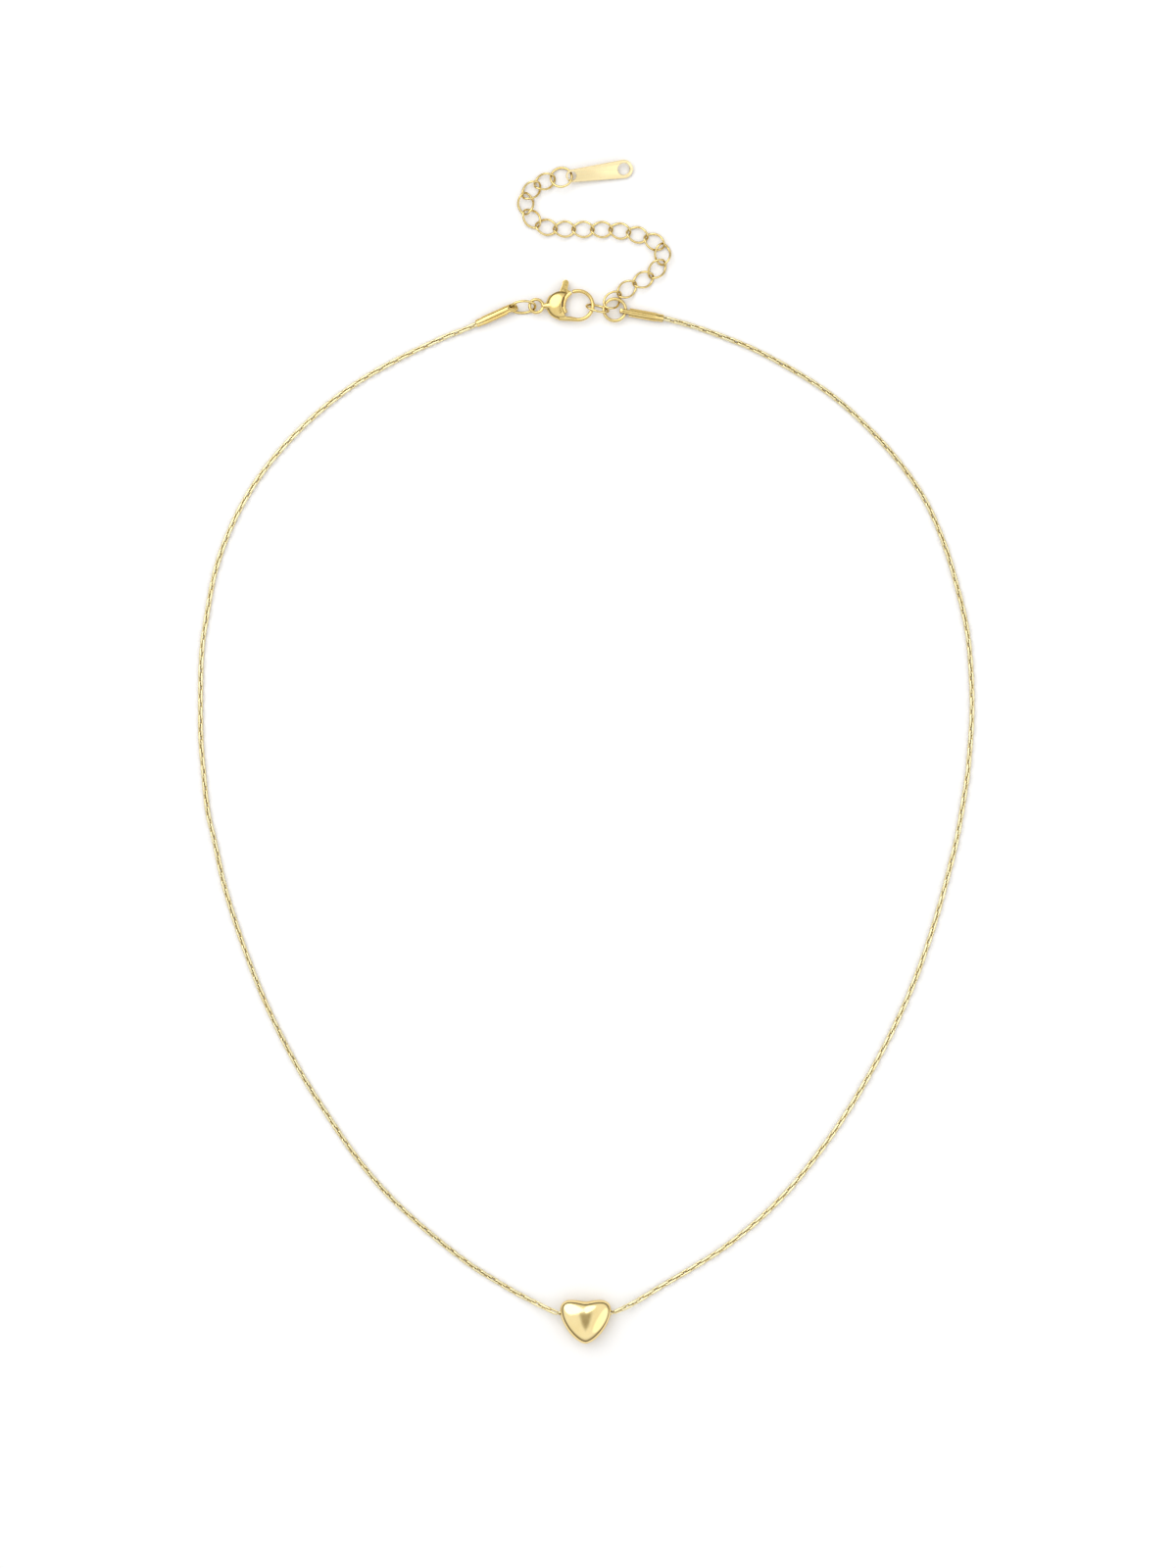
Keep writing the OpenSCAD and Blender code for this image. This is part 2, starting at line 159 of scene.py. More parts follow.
def loop_band(start, rings, sides, closed):
    """Quads between neighbouring rings of points."""
    faces = []
    for i in range(rings if closed else rings - 1):
        j = (i + 1) % rings
        for k in range(sides):
            m = (k + 1) % sides
            faces.append((start + i * sides + k, start + i * sides + m,
                          start + j * sides + m, start + j * sides + k))
    return faces


def sweep(path, outward, half_w, half_h, sides, closed=True, power=1.0):
    """Verts and faces of a wire along path. outward(i) points away from the loop.

    half_h is the wire's half size outwards and half_w its half size across."""
    verts = []
    count = len(path)
    for i, p in enumerate(path):
        if closed:
            way = path[(i + 1) % count] - path[i - 1]
        else:
            way = path[min(i + 1, count - 1)] - path[max(i - 1, 0)]
        way.normalize()
        out = outward(i)
        out = (out - way * out.dot(way)).normalized()
        side = way.cross(out)
        for k in range(sides):
            a = TAU * k / sides
            c, s = math.cos(a), math.sin(a)
            c = math.copysign(abs(c) ** power, c)
            s = math.copysign(abs(s) ** power, s)
            verts.append(p + side * (c * half_w) + out * (s * half_h))
    faces = loop_band(0, count, sides, closed)
    if not closed:
        faces.append(tuple(range(sides - 1, -1, -1)))
        faces.append(tuple((count - 1) * sides + k for k in range(sides)))
    return verts, faces


def chain_link_shape(length, width, thick, broad):
    """A long link with straight sides, of broad wire, lying along X in the XZ plane."""
    arc = 6
    r = width / 2 - thick / 2
    half = length / 2 - thick / 2 - r
    path = []
    for end in (1, -1):
        for i in range(arc + 1):
            a = math.pi / 2 - math.pi * i / arc
            path.append(Vector((end * (half + r * math.cos(a)), 0, end * r * math.sin(a))))
    centres = [Vector((max(-half, min(half, p.x)), 0, 0)) for p in path]
    return sweep(path, lambda i: path[i] - centres[i], broad / 2, thick / 2, 10, power=0.85)


CHAIN_LINK_L, CHAIN_WIDTH = 2.04, 0.8
CHAIN_WIRE_THICK, CHAIN_WIRE_BROAD = 0.25, 0.34
CHAIN_END_ROOM = 0.9  # what the end links need beyond whole pitches
CHAIN_LINK = chain_link_shape(CHAIN_LINK_L, CHAIN_WIDTH, CHAIN_WIRE_THICK, CHAIN_WIRE_BROAD)


def chain_mesh(name, route):
    """Box-like chain: each link stands a quarter turn from the one before."""
    path, length = smooth_route(route)
    count = int((length - CHAIN_END_ROOM) / CHAIN_PITCH) + 1
    start = (length - (count - 1) * CHAIN_PITCH) / 2
    verts, faces = [], []
    for n in range(count):
        at = (start + n * CHAIN_PITCH) / length * (len(path) - 1)
        i = min(int(at), len(path) - 2)
        p = path[i].lerp(path[i + 1], at - i)
        way = (path[min(i + 5, len(path) - 1)] - path[max(i - 4, 0)]).normalized()
        side = Vector((0, 0, 1)).cross(way).normalized()
        up = way.cross(side)
        wobble = 0.05 * math.sin(2.3 * n) + 0.03 * math.sin(5.1 * n + 1)
        roll = math.pi / 4 + (math.pi / 2) * (n % 2) + wobble
        across = side * math.cos(roll) + up * math.sin(roll)
        face = way.cross(across)
        base = len(verts)
        for v in CHAIN_LINK[0]:
            verts.append(p + way * v.x + across * v.z + face * v.y)
        faces += [tuple(base + q for q in f) for f in CHAIN_LINK[1]]
    return mesh_from(name, verts, faces), path, length


def evaluated(obj):
    """The object's mesh with its modifiers applied, and the object removed."""
    graph = bpy.context.evaluated_depsgraph_get()
    mesh = bpy.data.meshes.new_from_object(obj.evaluated_get(graph))
    bpy.data.objects.remove(obj, do_unlink=True)
    return mesh


def loose(name, mesh):
    obj = bpy.data.objects.new(name, mesh)
    bpy.context.collection.objects.link(obj)
    return obj


def cylinder_mesh(r, h, turn, at, sides=48, r2=None):
    """A cylinder about its own middle, or a cone whose far end has radius r2."""
    bm = bmesh.new()
    bmesh.ops.create_cone(bm, cap_ends=True, segments=sides, radius1=r,
                          radius2=r if r2 is None else r2, depth=h)
    bm.transform(Matrix.Translation(at) @ turn.to_4x4())
    mesh = bpy.data.meshes.new("cylinder")
    bm.to_mesh(mesh)
    bm.free()
    return mesh


def slab(points, z0, z1):
    """A flat plate with the outline points, between two heights."""
    n = len(points)
    verts = [(x, y, z0) for x, y in points] + [(x, y, z1) for x, y in points]
    faces = [tuple(range(n - 1, -1, -1)), tuple(range(n, 2 * n))]
    faces += [(i, (i + 1) % n, n + (i + 1) % n, n + i) for i in range(n)]
    return mesh_from("slab", verts, faces)


def cut(mesh, cutters, bevel=0.0):
    """Cut meshes out of a mesh, and ease the sharp edges."""
    obj = loose("work", mesh)
    helpers = [loose("helper", cutter) for cutter in cutters]
    for helper in helpers:
        mod = obj.modifiers.new("cut", "BOOLEAN")
        mod.object = helper
        mod.operation = "DIFFERENCE"
        mod.solver = "EXACT"
    if bevel:
        mod = obj.modifiers.new("ease", "BEVEL")
        mod.width = bevel
        mod.segments = 3
        mod.limit_method = "ANGLE"
        mod.angle_limit = math.radians(35)
    result = evaluated(obj)
    for helper in helpers:
        bpy.data.objects.remove(helper, do_unlink=True)
    return result


def melt(meshes, voxel, rounds):
    """Join solids into one soft-edged casting."""
    bm = bmesh.new()
    for m in meshes:
        bm.from_mesh(m)
    joined = bpy.data.meshes.new("joined")
    bm.to_mesh(joined)
    bm.free()
    obj = loose("work", joined)
    mod = obj.modifiers.new("melt", "REMESH")
    mod.mode = "VOXEL"
    mod.voxel_size = voxel
    mod = obj.modifiers.new("soften", "SMOOTH")
    mod.iterations = rounds
    mod.factor = 0.5
    return evaluated(obj)


# --------------------------------------------------------------- materials
EDGE_TINT = (0.80, 0.62, 0.34, 1)  # what a metal reflects at a grazing angle
CREVICE = 0.6 * MM  # how near another surface has to be to shade a metal
RELIEF = 0.01 * MM  # how deep the wear is
DRIFT_SCALE = 420  # patches some 2 mm across


def metal(name, light, deep, shade_colour, rough, grain=2600, strength=0.03, stretch=(1, 1, 1)):
    """Plated metal: a slow colour drift, painted shade in crevices and near contacts, fine wear,
    faint relief.

    light and deep are the drift's two ends, the colour after them is the painted shade laid in
    crevices and near contacts, rough is the range of roughness, and grain, strength and stretch
    shape the fine wear."""
    material = bpy.data.materials.new(name)
    material.use_nodes = True
    nodes, links = material.node_tree.nodes, material.node_tree.links
    shader = nodes["Principled BSDF"]
    shader.inputs["Metallic"].default_value = 1.0
    shader.inputs["Specular Tint"].default_value = EDGE_TINT
    coord = nodes.new("ShaderNodeTexCoord")
    scale = nodes.new("ShaderNodeMapping")
    scale.inputs["Scale"].default_value = stretch
    links.new(coord.outputs["Object"], scale.inputs["Vector"])

    drift = nodes.new("ShaderNodeTexNoise")
    drift.inputs["Scale"].default_value = DRIFT_SCALE
    drift.inputs["Detail"].default_value = 4
    ramp = nodes.new("ShaderNodeValToRGB")
    ramp.color_ramp.elements[0].position = 0.3
    ramp.color_ramp.elements[0].color = (*deep, 1)
    ramp.color_ramp.elements[1].position = 0.62
    ramp.color_ramp.elements[1].color = (*light, 1)
    links.new(coord.outputs["Object"], drift.inputs["Vector"])
    links.new(drift.outputs["Fac"], ramp.inputs["Fac"])

    # Painted shade: where ambient occlusion finds another surface near, the colour darkens towards
    # the shade colour
    crevice_shade_ao = nodes.new("ShaderNodeAmbientOcclusion")
    crevice_shade_ao.samples = 8
    crevice_shade_ao.inputs["Distance"].default_value = CREVICE
    unshaded_share = nodes.new("ShaderNodeMapRange")
    unshaded_share.inputs["From Min"].default_value = 0.3
    unshaded_share.inputs["From Max"].default_value = 0.88
    links.new(crevice_shade_ao.outputs["AO"], unshaded_share.inputs["Value"])
    painted_shade_mix = nodes.new("ShaderNodeMix")
    painted_shade_mix.data_type = "RGBA"
    painted_shade_mix.inputs["A"].default_value = (*shade_colour, 1)
    links.new(unshaded_share.outputs["Result"], painted_shade_mix.inputs["Factor"])
    links.new(ramp.outputs["Color"], painted_shade_mix.inputs["B"])
    links.new(painted_shade_mix.outputs["Result"], shader.inputs["Base Color"])

    wear = nodes.new("ShaderNodeTexNoise")
    wear.inputs["Scale"].default_value = grain
    wear.inputs["Detail"].default_value = 6
    spread = nodes.new("ShaderNodeMapRange")
    spread.inputs["From Min"].default_value = 0.3
    spread.inputs["From Max"].default_value = 0.7
    spread.inputs["To Min"].default_value = rough[0]
    spread.inputs["To Max"].default_value = rough[1]
    links.new(scale.outputs["Vector"], wear.inputs["Vector"])
    links.new(wear.outputs["Fac"], spread.inputs["Value"])
    links.new(spread.outputs["Result"], shader.inputs["Roughness"])

    bump = nodes.new("ShaderNodeBump")
    bump.inputs["Strength"].default_value = strength
    bump.inputs["Distance"].default_value = RELIEF
    links.new(wear.outputs["Fac"], bump.inputs["Height"])
    links.new(bump.outputs["Normal"], shader.inputs["Normal"])
    return material


# The third colour of each metal is painted shade for its crevices and near contacts
CHAIN_GOLD = metal("chain_gold", (1.0, 0.92, 0.58), (0.99, 0.87, 0.50), (0.45, 0.33, 0.11),
                   (0.24, 0.38))
BEAD_GOLD = metal("bead_gold", (0.95, 0.78, 0.40), (0.92, 0.73, 0.34), (0.40, 0.27, 0.08),
                  (0.06, 0.13), grain=1800, strength=0.01)
CAST_GOLD = metal("cast_gold", (0.85, 0.66, 0.27), (0.78, 0.58, 0.21), (0.33, 0.21, 0.05),
                  (0.1, 0.24))
WIRE_GOLD = metal("wire_gold", (0.86, 0.70, 0.32), (0.78, 0.60, 0.23), (0.33, 0.21, 0.05),
                  (0.12, 0.26))
TAG_GOLD = metal("tag_gold", (0.93, 0.79, 0.46), (0.91, 0.76, 0.43), (0.42, 0.30, 0.09),
                 (0.2, 0.36), grain=1500, stretch=(0.12, 1, 1), strength=0.08)
SPRING_STEEL = metal("spring_steel", (0.55, 0.55, 0.57), (0.42, 0.42, 0.44), (0.25, 0.25, 0.26),
                     (0.2, 0.35))


def side_chain(name, lower, upper, nodes):
    """One side of the necklace as one mesh in place of the side's two CAD pieces, riding on no
    body.
    """
    mesh, path, length = chain_mesh(name, lower + upper)
    piece = put(name, mesh, None, CHAIN_GOLD, nodes)
    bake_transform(piece)


side_chain("main_chain_left", LEFT_LOWER, LEFT_UPPER,
           ("chain_left_lower", "chain_left_upper"))
side_chain("main_chain_right", RIGHT_LOWER, RIGHT_UPPER,
           ("chain_right_lower", "chain_right_upper"))
put("chain_in_bead", chain_mesh("chain_in_bead", BEAD_RUN)[0], "bead_run", CHAIN_GOLD,
    ("chain_centre",))


# --------------------------------------------------------------- heart bead
HEART_W, HEART_H, HEART_T = 7.3, 6.3, 3.2
HEART_FULLNESS = 0.66  # 1 gives an elliptical section, and less a squarer rim
HEART_CROWN_Y = -0.1
HEART_MID = Vector((0, -82.1, 1.6))
BEAD_AXIS = Vector((0, -80.7, 1.6))


def heart_bead():
    """Layers of the heart's outline, which lose their notch as they near the crown."""
    around, layers = 160, 80
    verts = []
    for j in range(1, layers):
        fall = math.pi * j / layers
        reach = math.sin(fall)
        height = math.copysign(abs(math.cos(fall)) ** HEART_FULLNESS, math.cos(fall))
        for i in range(around):
            a = TAU * i / around
            # lift pushes the two lobes up on either side of the notch
            lift = (math.sin(a) ** 2 + 0.004) ** 0.7 - 0.004 ** 0.7
            y = HEART_CROWN_Y * (1 - reach) + HEART_H * reach * (0.475 * math.cos(a)
                                                                 + 0.285 * lift * reach)
            verts.append(Vector((HEART_W / 2 * math.sin(a) * reach, y, HEART_T / 2 * height)))
    faces = loop_band(0, layers - 1, around, False)
    top = len(verts)
    verts += [Vector((0, HEART_CROWN_Y, HEART_T / 2)), Vector((0, HEART_CROWN_Y, -HEART_T / 2))]
    foot = (layers - 2) * around
    for k in range(around):
        m = (k + 1) % around
        faces.append((top, m, k))
        faces.append((top + 1, foot + k, foot + m))
    mesh = mesh_from("heart", [v + HEART_MID for v in verts], faces)
    bore = cylinder_mesh(0.55, 12, Z_TO_X, BEAD_AXIS, 64)
    return cut(mesh, [bore])


put("heart_pendant", heart_bead(), "heart", BEAD_GOLD, ("heart_bead",))


# --------------------------------------------------------------- wire links
def wire_loop(name, mid, turn_deg, half_l, half_w, twist, wire_r, rings=72, sides=14):
    """An oval of wire whose ends may be twisted opposite ways."""
    path = []
    for i in range(rings):
        a = TAU * i / rings
        turn = math.radians(twist) * math.cos(a)
        out = half_w * math.sin(a)
        path.append(Vector((half_l * math.cos(a), out * math.cos(turn), out * math.sin(turn))))
    mesh = mesh_from(name, *sweep(path, lambda i: path[i], wire_r, wire_r, sides))
    mesh.transform(Matrix.Translation(mid) @ euler_deg(*turn_deg).to_4x4())
    return mesh


LINK_L, LINK_W, LINK_TWIST, LINK_WIRE_R = 3.1, 2.2, 42, 0.155
LINK_ENDS = [  # where each extension link holds the next
    (3.08, 64.31), (4.85, 65.9), (7.1, 67.5), (9.5, 68.6), (11.1, 70.6), (11.1, 72.9),
    (8.7, 74.2), (6.2, 74.9), (3.65, 75.3), (0.95, 75.3), (-1.7, 75.35), (-4.4, 75.4),
    (-6.9, 75.9), (-8.6, 77.9), (-8.65, 80.2), (-7, 81.7), (-4.8, 82.7),
]
FLAT_POSE = (0.6, 0, 0)  # height, roll and pitch
FIRST_POSES = {1: (1.07, 19, 17), 2: (0.65, 7, 0)}

for number in range(1, 17):
    (x0, y0), (x1, y1) = LINK_ENDS[number - 1], LINK_ENDS[number]
    height, roll, pitch = FIRST_POSES.get(number, FLAT_POSE)
    heading = math.degrees(math.atan2(y1 - y0, x1 - x0))
    name = f"curb_link_{number:02d}"
    loop = wire_loop(name, Vector(((x0 + x1) / 2, (y0 + y1) / 2, height)), (roll, pitch, heading),
                     LINK_L / 2, LINK_W / 2, LINK_TWIST, LINK_WIRE_R)
    put(name, loop, f"link_{number:02d}", WIRE_GOLD, (f"extension_link_{number:02d}",))


def plain_link(name, node, body, mid, turn_deg, half_l, half_w, wire_r, fineness):
    put(name, wire_loop(name, Vector(mid), turn_deg, half_l, half_w, 0, wire_r, *fineness), body,
        WIRE_GOLD, (node,))


SMALL, LARGE = (72, 14), (96, 18)  # how finely the wire is drawn, along and around it
plain_link("clasp_side_link", "hook_link", "hook_link", (1.7, 63.9, 1), (-60, 0, -14),
           1.62, 0.95, 0.16, SMALL)
plain_link("cap_side_link", "connector_link", "connector", (-9, 64.1, 0.95),
           (45, 0, 4), 1.75, 1.08, 0.18, SMALL)
plain_link("main_jump_ring", "jump_ring", "jump_ring", (4.2, 63.72, 0.8), (0, 0, 0),
           1.58, 1.58, 0.22, LARGE)
plain_link("tag_jump_ring", "tag_ring", "tag_ring", (-3.5, 82.8, 0.85), (-20, -6, 0),
           1.53, 1.53, 0.165, LARGE)


# --------------------------------------------------------------- end caps
CAP_D = 1.24
CHAIN_BORE_R = 0.46
HALF_TONGUE = 0.3
SEAM_AT = math.radians(90 + 32)
SEAM_DEPTH, SEAM_SPREAD = 0.3, 0.17  # as a share of the radius, and in radians
SEAM_END = -0.5


def end_cap(hole, heading, tilt, hole_turn, hole_r):
    """A folded cap: a rolled tube with a seam on top, flattened to a tongue at its ring.

    Each station is a place along the cap, from its cross hole, and the share of the full radius
    there."""
    nose, back, around = 0.8, 5.6, 72
    stations = [(-back, 0.82), (-back + 0.12, 0.87), (-back + 0.8, 0.87), (-back + 1.05, 0.95),
                (-back + 1.3, 1.0), (-back + 2.6, 1.0), (-back + 3.9, 1.0), (-0.6, 1.0),
                (0.3, 1.0), (nose - 0.2, 1.0), (nose - 0.07, 0.95), (nose, 0.8)]
    verts = []
    for x, size in stations:
        for k in range(around):
            a = TAU * k / around
            off = math.atan2(math.sin(a - SEAM_AT), math.cos(a - SEAM_AT))
            seam = SEAM_DEPTH * math.exp(-(off / SEAM_SPREAD) ** 2) if x < SEAM_END else 0
            r = CAP_D / 2 * size * (1 - seam)
            verts.append(Vector((x, r * math.cos(a), r * math.sin(a))))
    faces = loop_band(0, len(stations), around, False)
    faces.append(tuple(range(around - 1, -1, -1)))
    faces.append(tuple((len(stations) - 1) * around + k for k in range(around)))
    mesh = mesh_from("cap", verts, faces)
    turn = euler_deg(0, -tilt, heading)
    mesh.transform(Matrix.Translation(hole) @ turn.to_4x4())
    room = 2  # more than the cap's radius
    flats = [slab([(-0.6, -room), (3.4, -room), (3.4, room), (-0.6, room)], low, low + room)
             for low in (HALF_TONGUE, -HALF_TONGUE - room)]
    for flat in flats:
        flat.transform(Matrix.Translation(hole) @ hole_turn.to_4x4())
    cross_hole = cylinder_mesh(hole_r, 4, hole_turn, hole)
    chain_bore = cylinder_mesh(CHAIN_BORE_R, 2.2, turn @ Z_TO_X,
                               hole + turn @ Vector((-back, 0, 0)))
    return cut(mesh, flats + [cross_hole, chain_bore], bevel=0.03)


put("cap_left", end_cap(Vector((-10.62, 63.99, 0.95)), 24, 3, euler_deg(-45, 0, 4), 0.42),
    "left_upper", CAST_GOLD, ("end_cap_left",))
put("cap_right", end_cap(Vector((5.7, 63.46, 0.8)), 170, 1.5, euler_deg(-90, 0, 170), 0.37),
    "right_upper", CAST_GOLD, ("end_cap_right",))


# --------------------------------------------------------------- lobster clasp
CLASP_Z = 0.95
EYE_MID = Vector((-7.1, 64.25, CLASP_Z))
EYE_R, EYE_WIRE_R = 0.95, 0.23
NECK_MID = Vector((-5.6, 64.28, CLASP_Z))
BODY_MID = Vector((-3.6, 64.4, CLASP_Z))
BODY_SIZE = (2.1, 2.1, 0.93)
HOOK_MID = Vector((-1.05, 64.35, CLASP_Z))
HOOK_R, HOOK_WIRE_R = 2.07, 0.28
HOOK_FROM, HOOK_TO = -99, 109  # degrees round the hook's middle, as for the gate
HOOK_TIP = HOOK_MID + HOOK_R * Vector((math.cos(math.radians(HOOK_TO)),
                                       math.sin(math.radians(HOOK_TO)), 0))
HOOK_TIP_R = 0.27
ROOT_MID, ROOT_END = Vector((-2.49, 62.44, CLASP_Z)), Vector((-3.68, 62.6, CLASP_Z))
ROOT_R = 0.42
GATE_FROM, GATE_TO = 118, 212
GATE_HALF_T = 0.27
BEHIND_GATE = 0.05
PIN_MID = Vector((-3.65, 63.35, CLASP_Z))
PIN_R, PIN_HOLE_R, PIN_L = 0.195, 0.2, 1.4
LEVER_HALF_T, LEVER_ROOM = 0.25, 0.36
HUB_R, HUB_BORE_R = 0.5, 0.26
NUB_MID = Vector((-2.88, 67.55, CLASP_Z))
NUB_R = 0.47
THROUGH = 4  # longer than anything that a cutter goes through


def arc_mesh(mid, r, wire_w, wire_h, start, end):
    """An arc of wire in the flat, with wire_w its half size outwards and wire_h upwards."""
    steps, sides = 80, 16
    path = []
    for i in range(steps + 1):
        a = math.radians(start + (end - start) * i / steps)
        path.append(mid + Vector((r * math.cos(a), r * math.sin(a), 0)))
    verts, faces = sweep(path, lambda i: path[i] - mid, wire_h, wire_w, sides, closed=False)
    return mesh_from("arc", verts, faces)


def ball(mid, size, segments=48):
    bm = bmesh.new()
    bmesh.ops.create_uvsphere(bm, u_segments=segments, v_segments=segments // 2, radius=1)
    bm.transform(Matrix.Translation(mid) @ Matrix.Diagonal((*size, 1)))
    mesh = bpy.data.meshes.new("ball")
    bm.to_mesh(mesh)
    bm.free()
    return mesh


def clasp_body():
    rim = cylinder_mesh(HOOK_R + HOOK_WIRE_R + BEHIND_GATE, THROUGH, NO_TURN, HOOK_MID, 96)
    casting = melt([
        cut(ball(BODY_MID, BODY_SIZE), [rim]),
        arc_mesh(EYE_MID, EYE_R, EYE_WIRE_R, EYE_WIRE_R, 0, 358),
        cylinder_mesh(0.28, 1.3, Z_TO_X, NECK_MID, r2=0.7),
        arc_mesh(HOOK_MID, HOOK_R, HOOK_WIRE_R, HOOK_WIRE_R, HOOK_FROM, HOOK_TO),
        ball(HOOK_TIP, (HOOK_TIP_R, HOOK_TIP_R, HOOK_TIP_R), 24),
        cylinder_mesh(ROOT_R, 2.4, euler_deg(0, 90, -7), ROOT_MID, r2=HOOK_WIRE_R),
        ball(ROOT_END, (ROOT_R, 0.4, ROOT_R), 24),
    ], 0.04, 16)
    room = slab([(-4.25, 62.72), (-1.9, 62.72), (-1.9, 67), (-5.05, 67), (-5.05, 64.2)],
                CLASP_Z - LEVER_ROOM, CLASP_Z + LEVER_ROOM)
    return cut(casting, [room, cylinder_mesh(PIN_HOLE_R, THROUGH, NO_TURN, PIN_MID)])


def lever_plate(points):
    return slab(points, CLASP_Z - LEVER_HALF_T, CLASP_Z + LEVER_HALF_T)


def clasp_lever():
    casting = melt([
        arc_mesh(HOOK_MID, HOOK_R, HOOK_WIRE_R, GATE_HALF_T, GATE_FROM, GATE_TO),
        cylinder_mesh(HUB_R, 2 * LEVER_HALF_T, NO_TURN, PIN_MID),
        lever_plate([(-3.65, 62.85), (-2.95, 63.1), (-2.95, 63.8), (-3.3, 64.1), (-3.75, 63.84)]),
        cylinder_mesh(NUB_R, 2 * LEVER_HALF_T, NO_TURN, NUB_MID),
        lever_plate([(-2.9, 65.3), (-2.15, 66.35), (-2.6, 66.6), (-2.43, 67.45), (-3.33, 67.45),
                     (-3.8, 66.2)]),
    ], 0.03, 12)
    return cut(casting, [cylinder_mesh(HUB_BORE_R, 3, NO_TURN, PIN_MID)])


def lever_pin():
    return cut(cylinder_mesh(PIN_R, PIN_L, NO_TURN, PIN_MID), [], bevel=0.04)


def lever_spring():
    foot, length, r, wire_r = Vector((-4.93, 64.85, CLASP_Z)), 0.88, 0.22, 0.05
    turns, per_turn = 4, 24
    steps = turns * per_turn
    axis = [foot + Vector((length * i / steps, 0, 0)) for i in range(steps + 1)]
    path = []
    for i, p in enumerate(axis):
        a = TAU * i / per_turn
        path.append(p + Vector((0, r * math.cos(a), r * math.sin(a))))
    verts, faces = sweep(path, lambda i: path[i] - axis[i], wire_r, wire_r, 8, closed=False)
    return mesh_from("spring", verts, faces)


put("clasp_casting", clasp_body(), "clasp", CAST_GOLD, ("clasp_body",))
put("clasp_thumb_lever", clasp_lever(), "lever", CAST_GOLD, ("clasp_lever",))
put("lever_pin", lever_pin(), "clasp", CAST_GOLD, ("clasp_pin",))
put("lever_spring", lever_spring(), "clasp", SPRING_STEEL, ("clasp_spring",))


# --------------------------------------------------------------- end tag
def end_tag():
    """A flat tag with two round ends and a hole in each, reach apart."""
    reach, narrow_r, wide_r, half_t = 7.5, 0.9, 1.33, 0.175
    small_hole_r, large_hole_r, arc = 0.64, 0.88, 40
    lean = math.asin((wide_r - narrow_r) / reach)
    outline = []
    for mid_x, r, start, end in ((reach, wide_r, -math.pi / 2 - lean, math.pi / 2 + lean),
                                 (0, narrow_r, math.pi / 2 + lean, 3 * math.pi / 2 - lean)):
        for i in range(arc + 1):
            a = start + (end - start) * i / arc
            outline.append((mid_x + r * math.cos(a), r * math.sin(a)))
    plate = slab(outline, -half_t, half_t)
    holes = [cylinder_mesh(small_hole_r, 2, NO_TURN, Vector((0, 0, 0)), 64),
             cylinder_mesh(large_hole_r, 2, NO_TURN, Vector((reach, 0, 0)), 96)]
    mesh = cut(plate, holes, bevel=0.05)
    mesh.transform(Matrix.Translation((-1.93, 82.98, 1)) @ euler_deg(18, 3, 8).to_4x4())
    return mesh


put("end_tag", end_tag(), "tag", TAG_GOLD, ("tag",))


# --------------------------------------------------------------- room and light
def plain_floor():
    material = bpy.data.materials.new("floor_white")
    material.use_nodes = True
    shader = material.node_tree.nodes["Principled BSDF"]
    shader.inputs["Base Color"].default_value = (0.945, 0.945, 0.95, 1)
    shader.inputs["Roughness"].default_value = 0.7
    half = 1.5
    floor = loose("floor", mesh_from("floor", [(-half, -half, 0), (half, -half, 0),
                                               (half, half, 0), (-half, half, 0)], [(0, 1, 2, 3)]))
    floor.data.materials.append(material)


def soft_light(name, size, power, at):
    """A round soft light that points at the middle of the floor."""
    data = bpy.data.lights.new(name, "AREA")
    data.shape = "DISK"
    data.size = size
    data.energy = power
    light = bpy.data.objects.new(name, data)
    light.location = at
    light.rotation_euler = (-Vector(at)).to_track_quat("-Z", "Y").to_euler()
    bpy.context.collection.objects.link(light)


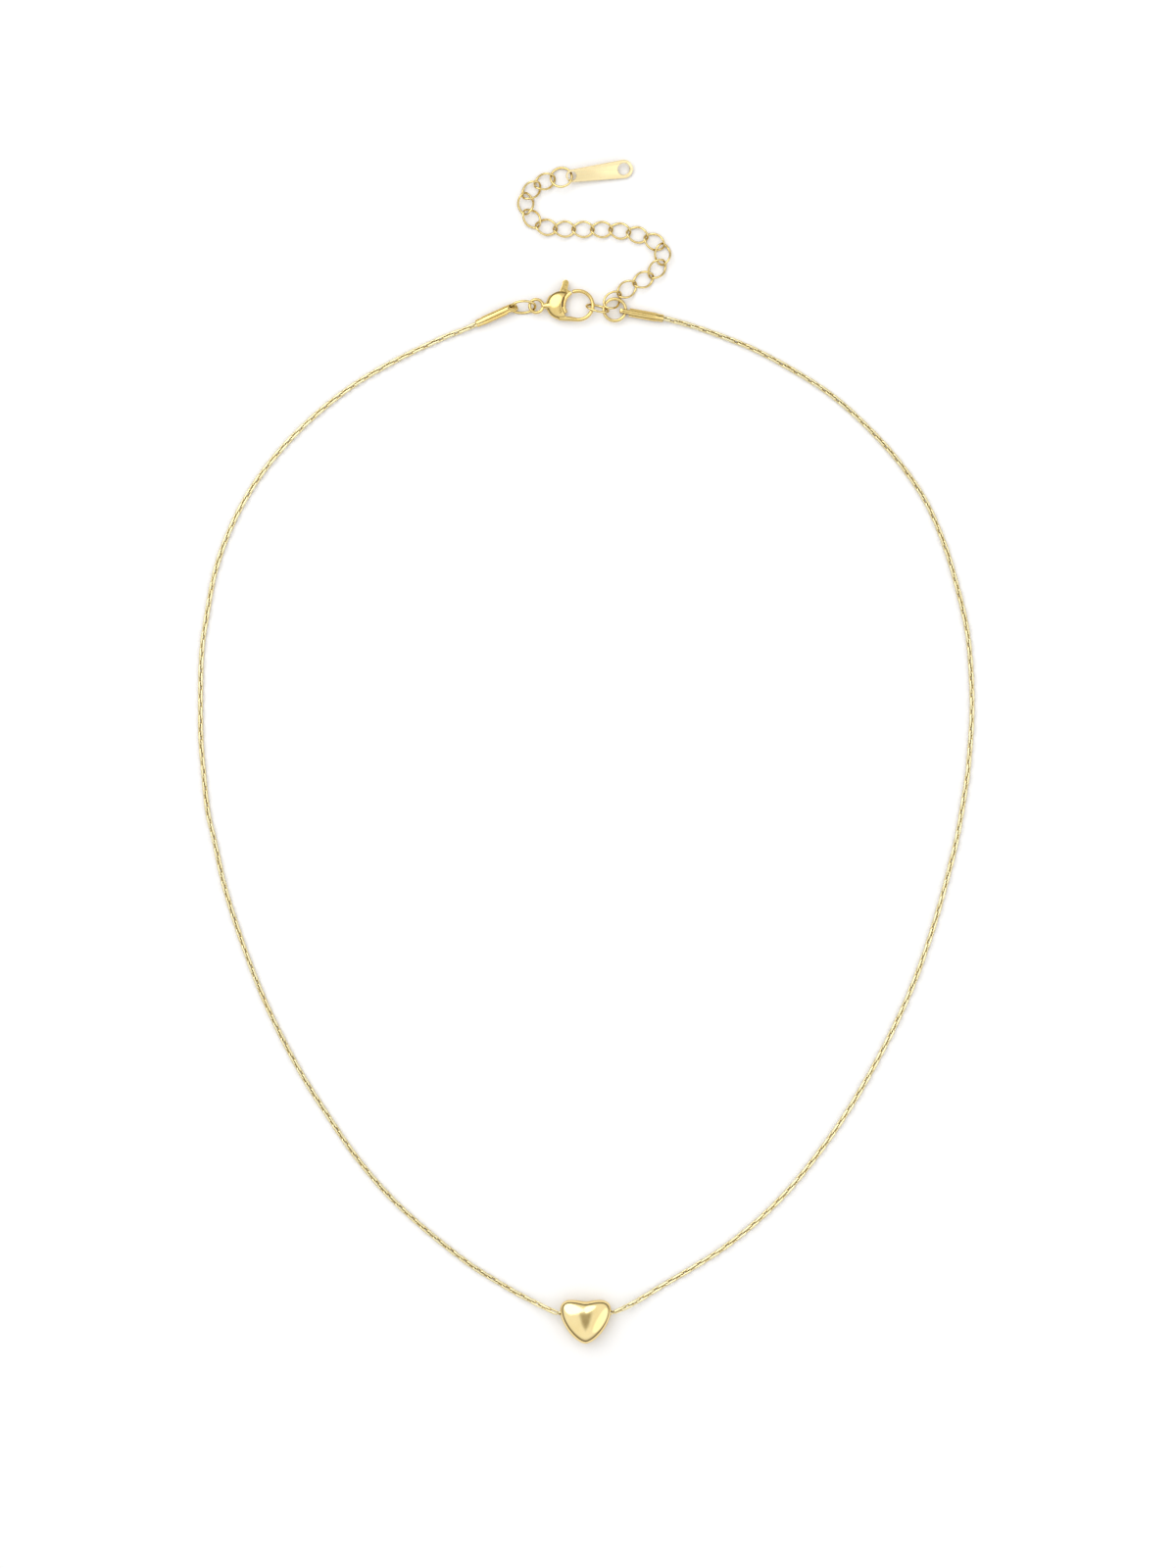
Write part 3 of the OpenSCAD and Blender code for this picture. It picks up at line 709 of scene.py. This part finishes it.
WORLD_STRENGTH = 1.0
ROOM_TOP, CEILING_EDGE = 0.19, 0.64  # as sines of the angle above the horizon
ROOM_GREY, GAP_GREY = (0.13, 0.10, 0.07, 1), (0.42, 0.38, 0.3, 1)
GAP_HALF_X, GAP_HALF_Y = 0.09, 0.33  # as sines of the angle from straight up


def studio_world():
    """A white ceiling with a long dim gap straight overhead, over a dim warm-grey room."""
    world = bpy.data.worlds.new("studio")
    world.use_nodes = True
    nodes, links = world.node_tree.nodes, world.node_tree.links
    coord = nodes.new("ShaderNodeTexCoord")
    split = nodes.new("ShaderNodeSeparateXYZ")
    ramp = nodes.new("ShaderNodeValToRGB")
    stops = ramp.color_ramp.elements
    stops[0].position, stops[0].color = ROOM_TOP, ROOM_GREY
    stops[1].position, stops[1].color = CEILING_EDGE, (1, 1, 1, 1)
    links.new(coord.outputs["Generated"], split.inputs["Vector"])
    links.new(split.outputs["Z"], ramp.inputs["Fac"])

    squeeze = nodes.new("ShaderNodeVectorMath")
    squeeze.operation = "MULTIPLY"
    squeeze.inputs[1].default_value = (1 / GAP_HALF_X, 1 / GAP_HALF_Y, 0)
    away = nodes.new("ShaderNodeVectorMath")
    away.operation = "LENGTH"
    edge = nodes.new("ShaderNodeMapRange")
    edge.interpolation_type = "SMOOTHSTEP"
    edge.inputs["From Min"].default_value = 0.5
    edge.inputs["From Max"].default_value = 1.4
    ceiling = nodes.new("ShaderNodeMix")
    ceiling.data_type = "RGBA"
    ceiling.inputs["A"].default_value = GAP_GREY
    links.new(coord.outputs["Generated"], squeeze.inputs[0])
    links.new(squeeze.outputs["Vector"], away.inputs[0])
    links.new(away.outputs["Value"], edge.inputs["Value"])
    links.new(edge.outputs["Result"], ceiling.inputs["Factor"])
    links.new(ramp.outputs["Color"], ceiling.inputs["B"])
    links.new(ceiling.outputs["Result"], nodes["Background"].inputs["Color"])
    nodes["Background"].inputs["Strength"].default_value = WORLD_STRENGTH
    bpy.context.scene.world = world


plain_floor()
soft_light("key_light", 0.9, 2.8, (-0.35, 0.4, 0.7))
soft_light("fill_light", 1.0, 1.0, (0.6, -0.2, 0.6))
studio_world()
bpy.context.scene.view_settings.view_transform = "Standard"
